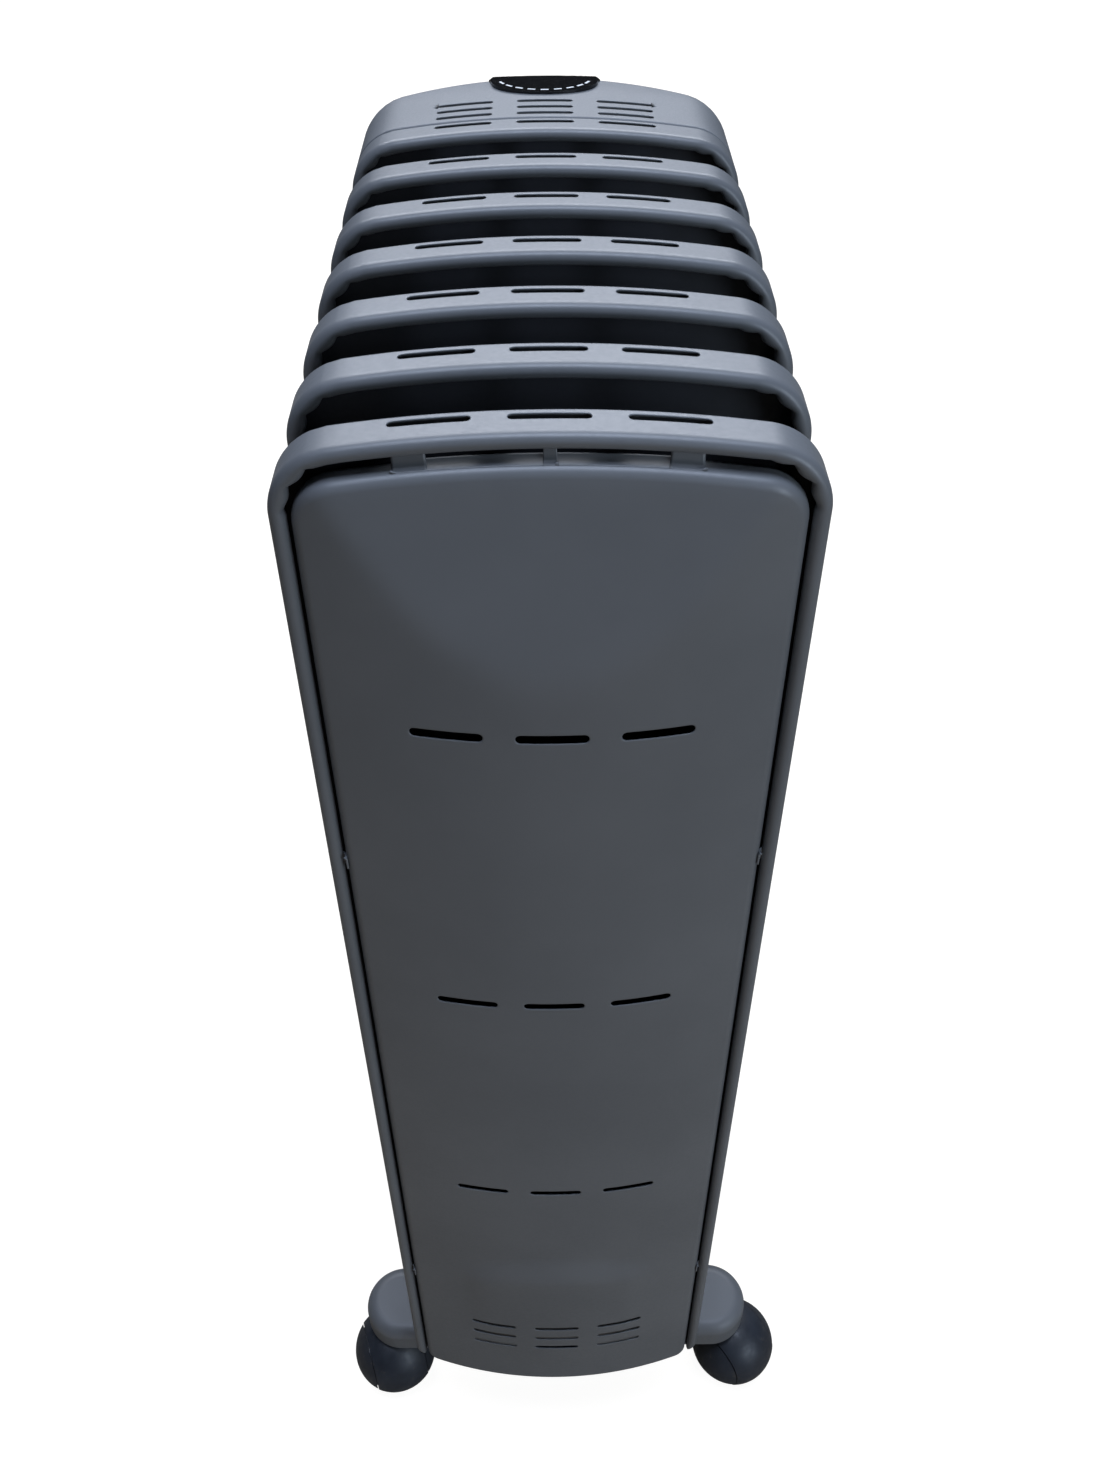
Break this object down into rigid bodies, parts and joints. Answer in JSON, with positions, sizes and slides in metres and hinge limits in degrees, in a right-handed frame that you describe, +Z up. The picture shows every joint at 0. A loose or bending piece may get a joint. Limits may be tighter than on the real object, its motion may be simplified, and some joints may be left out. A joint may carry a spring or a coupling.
{
  "type": "oil-filled radiator",
  "caption": "Free-standing oil-filled radiator: a row of rimmed fins between a bowed slotted end cover and a control housing, on foot bars with ball castors.",
  "frame": {"origin": "on the floor, below the middle of the bounding box", "axes": "+Z up; +Y along the row of fins from the end cover to the control housing; +X across, to the right seen from the end cover"},
  "size_m": [0.2672, 0.344, 0.67],
  "materials": {
    "grey_enamel": "satin grey powder coat",
    "grey_plastic": "satin moulded grey",
    "gloss_black": "polished black",
    "black_plastic": "fine moulded texture",
    "castor_black": "semi-gloss moulded black",
    "rocker_red": "tinted lamp plastic",
    "zinc_steel": "bright zinc plate",
    "brass_blade": "plain pressed",
    "white_plastic": "moulded",
    "black_rubber": "matt"
  },
  "bodies": {
    "radiator": {"fin_1": "grey_enamel", "fin_2": "grey_enamel", "fin_3": "grey_enamel", "fin_4": "grey_enamel", "fin_5": "grey_enamel", "fin_6": "grey_enamel", "fin_7": "grey_enamel", "upper_collars": "grey_enamel", "lower_collars": "grey_enamel", "filler_plug": "grey_enamel", "end_cover": "grey_enamel", "heat_shield": "zinc_steel", "control_housing": "grey_plastic", "control_fascia": "gloss_black", "thermostat_body": "black_plastic", "switch_bodies": "black_plastic", "terminal_block": "white_plastic", "thermal_cutout": "zinc_steel", "cord_gland": "black_rubber", "heating_elements": "zinc_steel", "element_flange": "zinc_steel", "element_terminals": "brass_blade", "foot_bar_front": "grey_plastic", "foot_bar_rear": "grey_plastic", "u_bolts": "zinc_steel", "wing_nuts": "zinc_steel"},
    "thermostat_knob": {"thermostat_knob": "black_plastic", "thermostat_shaft": "zinc_steel"},
    "rocker_low": {"rocker_low": "rocker_red"},
    "rocker_high": {"rocker_high": "rocker_red"},
    "castor_front_left": {"castor_front_left_stem": "zinc_steel", "castor_front_left_hood": "castor_black", "castor_front_left_axle": "zinc_steel"},
    "castor_front_left_wheel_outer": {"castor_front_left_wheel_outer": "castor_black"},
    "castor_front_left_wheel_inner": {"castor_front_left_wheel_inner": "castor_black"},
    "castor_front_right": {"castor_front_right_stem": "zinc_steel", "castor_front_right_hood": "castor_black", "castor_front_right_axle": "zinc_steel"},
    "castor_front_right_wheel_outer": {"castor_front_right_wheel_outer": "castor_black"},
    "castor_front_right_wheel_inner": {"castor_front_right_wheel_inner": "castor_black"},
    "castor_rear_left": {"castor_rear_left_stem": "zinc_steel", "castor_rear_left_hood": "castor_black", "castor_rear_left_axle": "zinc_steel"},
    "castor_rear_left_wheel_outer": {"castor_rear_left_wheel_outer": "castor_black"},
    "castor_rear_left_wheel_inner": {"castor_rear_left_wheel_inner": "castor_black"},
    "castor_rear_right": {"castor_rear_right_stem": "zinc_steel", "castor_rear_right_hood": "castor_black", "castor_rear_right_axle": "zinc_steel"},
    "castor_rear_right_wheel_outer": {"castor_rear_right_wheel_outer": "castor_black"},
    "castor_rear_right_wheel_inner": {"castor_rear_right_wheel_inner": "castor_black"}
  },
  "joints": [
    {"name": "thermostat_turn", "type": "hinge", "parent": "radiator", "child": "thermostat_knob", "pos_m": [0, 0.1567, 0.54678], "axis": [0, -1, 0], "range_deg": [0, 270]},
    {"name": "rocker_high_press", "type": "hinge", "parent": "radiator", "child": "rocker_high", "pos_m": [0.01, 0.15645, 0.60678], "axis": [-1, 0, 0], "range_deg": [0, 18]},
    {"name": "rocker_low_press", "type": "hinge", "parent": "radiator", "child": "rocker_low", "pos_m": [-0.01, 0.15645, 0.60678], "axis": [-1, 0, 0], "range_deg": [0, 18]},
    {"name": "castor_front_left_swivel", "type": "hinge", "parent": "radiator", "child": "castor_front_left", "pos_m": [-0.1025, -0.1208, 0.02178], "axis": [0, 0, 1], "continuous": true},
    {"name": "castor_front_left_wheel_outer_roll", "type": "hinge", "parent": "castor_front_left", "child": "castor_front_left_wheel_outer", "pos_m": [-0.09941, -0.13031, 0.02178], "axis": [0.9511, 0.309, 0], "continuous": true},
    {"name": "castor_front_left_wheel_inner_roll", "type": "hinge", "parent": "castor_front_left", "child": "castor_front_left_wheel_inner", "pos_m": [-0.09941, -0.13031, 0.02178], "axis": [0.9511, 0.309, 0], "continuous": true},
    {"name": "castor_front_right_swivel", "type": "hinge", "parent": "radiator", "child": "castor_front_right", "pos_m": [0.1025, -0.1208, 0.02178], "axis": [0, 0, 1], "continuous": true},
    {"name": "castor_front_right_wheel_outer_roll", "type": "hinge", "parent": "castor_front_right", "child": "castor_front_right_wheel_outer", "pos_m": [0.10893, -0.12846, 0.02178], "axis": [0.766, 0.6428, 0], "continuous": true},
    {"name": "castor_front_right_wheel_inner_roll", "type": "hinge", "parent": "castor_front_right", "child": "castor_front_right_wheel_inner", "pos_m": [0.10893, -0.12846, 0.02178], "axis": [0.766, 0.6428, 0], "continuous": true},
    {"name": "castor_rear_left_swivel", "type": "hinge", "parent": "radiator", "child": "castor_rear_left", "pos_m": [-0.1025, 0.0792, 0.02178], "axis": [0, 0, 1], "continuous": true},
    {"name": "castor_rear_left_wheel_outer_roll", "type": "hinge", "parent": "castor_rear_left", "child": "castor_rear_left_wheel_outer", "pos_m": [-0.10893, 0.07154, 0.02178], "axis": [0.766, -0.6428, 0], "continuous": true},
    {"name": "castor_rear_left_wheel_inner_roll", "type": "hinge", "parent": "castor_rear_left", "child": "castor_rear_left_wheel_inner", "pos_m": [-0.10893, 0.07154, 0.02178], "axis": [0.766, -0.6428, 0], "continuous": true},
    {"name": "castor_rear_right_swivel", "type": "hinge", "parent": "radiator", "child": "castor_rear_right", "pos_m": [0.1025, 0.0792, 0.02178], "axis": [0, 0, 1], "continuous": true},
    {"name": "castor_rear_right_wheel_outer_roll", "type": "hinge", "parent": "castor_rear_right", "child": "castor_rear_right_wheel_outer", "pos_m": [0.09941, 0.06969, 0.02178], "axis": [0.9511, -0.309, 0], "continuous": true},
    {"name": "castor_rear_right_wheel_inner_roll", "type": "hinge", "parent": "castor_rear_right", "child": "castor_rear_right_wheel_inner", "pos_m": [0.09941, 0.06969, 0.02178], "axis": [0.9511, -0.309, 0], "continuous": true}
  ]
}
